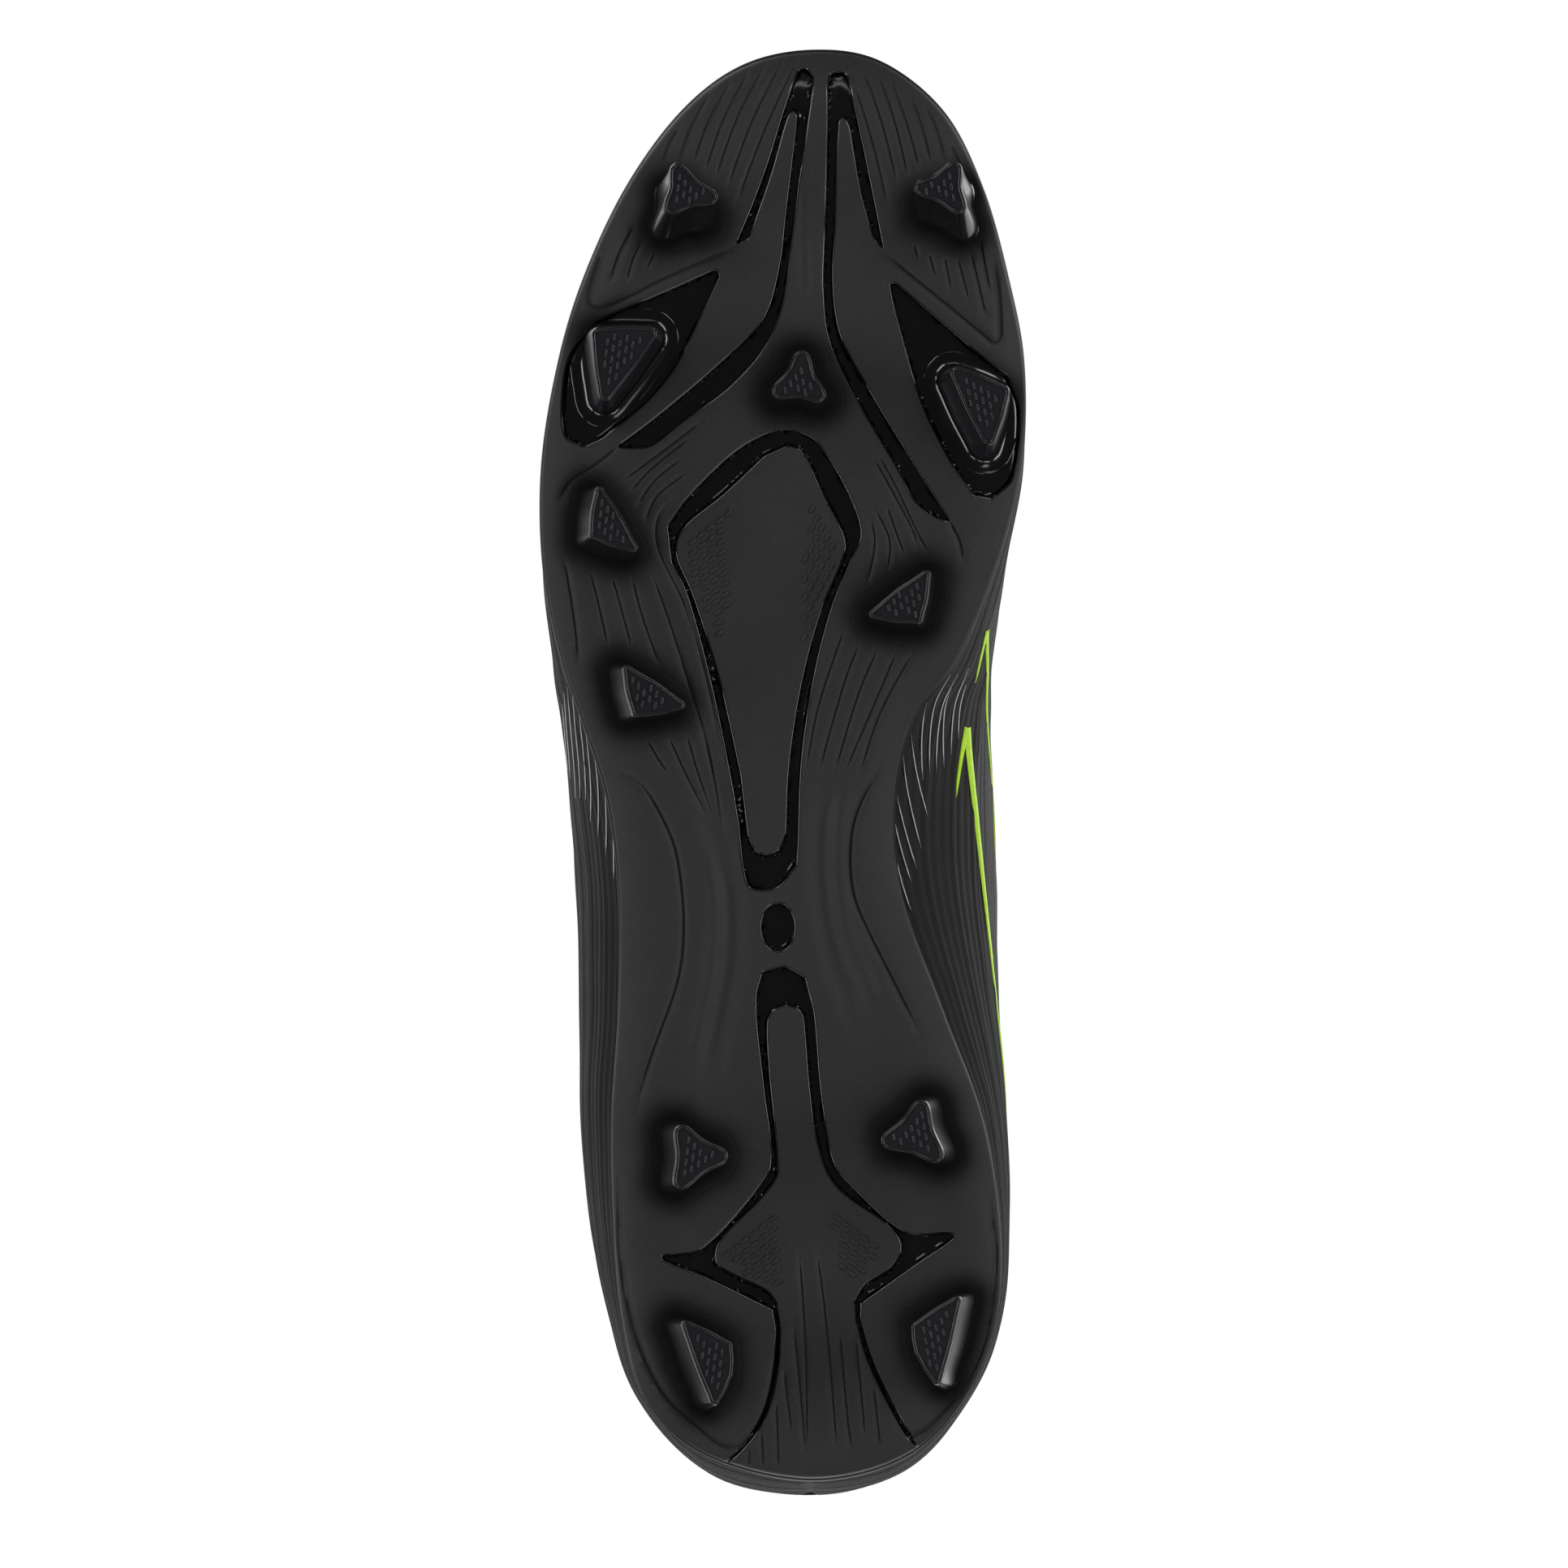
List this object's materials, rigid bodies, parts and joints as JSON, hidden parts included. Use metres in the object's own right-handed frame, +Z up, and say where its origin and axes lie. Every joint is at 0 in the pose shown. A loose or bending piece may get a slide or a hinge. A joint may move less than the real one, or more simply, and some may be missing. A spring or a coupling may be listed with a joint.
{
  "type": "football boot",
  "caption": "Right black football boot with a moulded firm-ground sole, textured stud tips, lace-up textile upper, padded collar, tongue and loose insole.",
  "frame": {"origin": "middle of the boot's outline, on the ground under the stud tips", "axes": "+Z up, +Y towards the heel (toe at -Y), +X towards the inner side of the right foot"},
  "size_m": [0.0953, 0.2863, 0.1103],
  "materials": {
    "sole_gloss": "gloss",
    "sole_matte": "satin",
    "stud_tip": "satin",
    "upper_textile": "matte",
    "trim_film": "satin",
    "lining_cloth": "matte",
    "foam": "matte",
    "board": "matte",
    "shank_plastic": "matte",
    "lace_cord": "matte",
    "insole_cloth": "matte"
  },
  "bodies": {
    "shoe": {"outsole_plate": "sole_gloss", "stud_toe_outer": "sole_gloss", "stud_toe_inner": "sole_gloss", "stud_centre": "sole_gloss", "stud_ball_outer": "sole_gloss", "stud_ball_inner": "sole_gloss", "stud_mid_outer": "sole_gloss", "stud_mid_inner": "sole_gloss", "stud_rear_outer": "sole_gloss", "stud_heel_front_outer": "sole_gloss", "stud_heel_front_inner": "sole_gloss", "stud_heel_rear_outer": "sole_gloss", "stud_heel_rear_inner": "sole_gloss", "outsole_skin": "sole_matte", "forefoot_island": "sole_matte", "heel_island": "sole_matte", "tip_toe_outer": "stud_tip", "tip_toe_inner": "stud_tip", "tip_centre": "stud_tip", "tip_ball_outer": "stud_tip", "tip_ball_inner": "stud_tip", "tip_mid_outer": "stud_tip", "tip_mid_inner": "stud_tip", "tip_rear_outer": "stud_tip", "tip_heel_front_outer": "stud_tip", "tip_heel_front_inner": "stud_tip", "tip_heel_rear_outer": "stud_tip", "tip_heel_rear_inner": "stud_tip", "upper_shell": "upper_textile", "eyestay": "trim_film", "back_seam_tape": "trim_film", "collar_binding": "upper_textile", "collar_foam": "foam", "heel_counter": "board", "toe_puff": "board", "strobel_board": "board", "collar_lining": "lining_cloth", "forefoot_lining": "lining_cloth", "shank": "shank_plastic", "lace": "lace_cord"},
    "tongue": {"tongue_shell": "upper_textile", "tongue_pad": "lining_cloth"},
    "insole": {"insole_foam": "foam", "insole_cover": "insole_cloth"}
  },
  "joints": [
    {"name": "tongue_fold", "type": "hinge", "parent": "shoe", "child": "tongue", "pos_m": [0.001, -0.046, 0.06], "axis": [-1, 0, 0], "range_deg": [0, 10]},
    {"name": "insole_lift", "type": "hinge", "parent": "shoe", "child": "insole", "pos_m": [0.002, -0.1372, 0.0285], "axis": [1, 0, 0], "range_deg": [0, 4.5]}
  ]
}
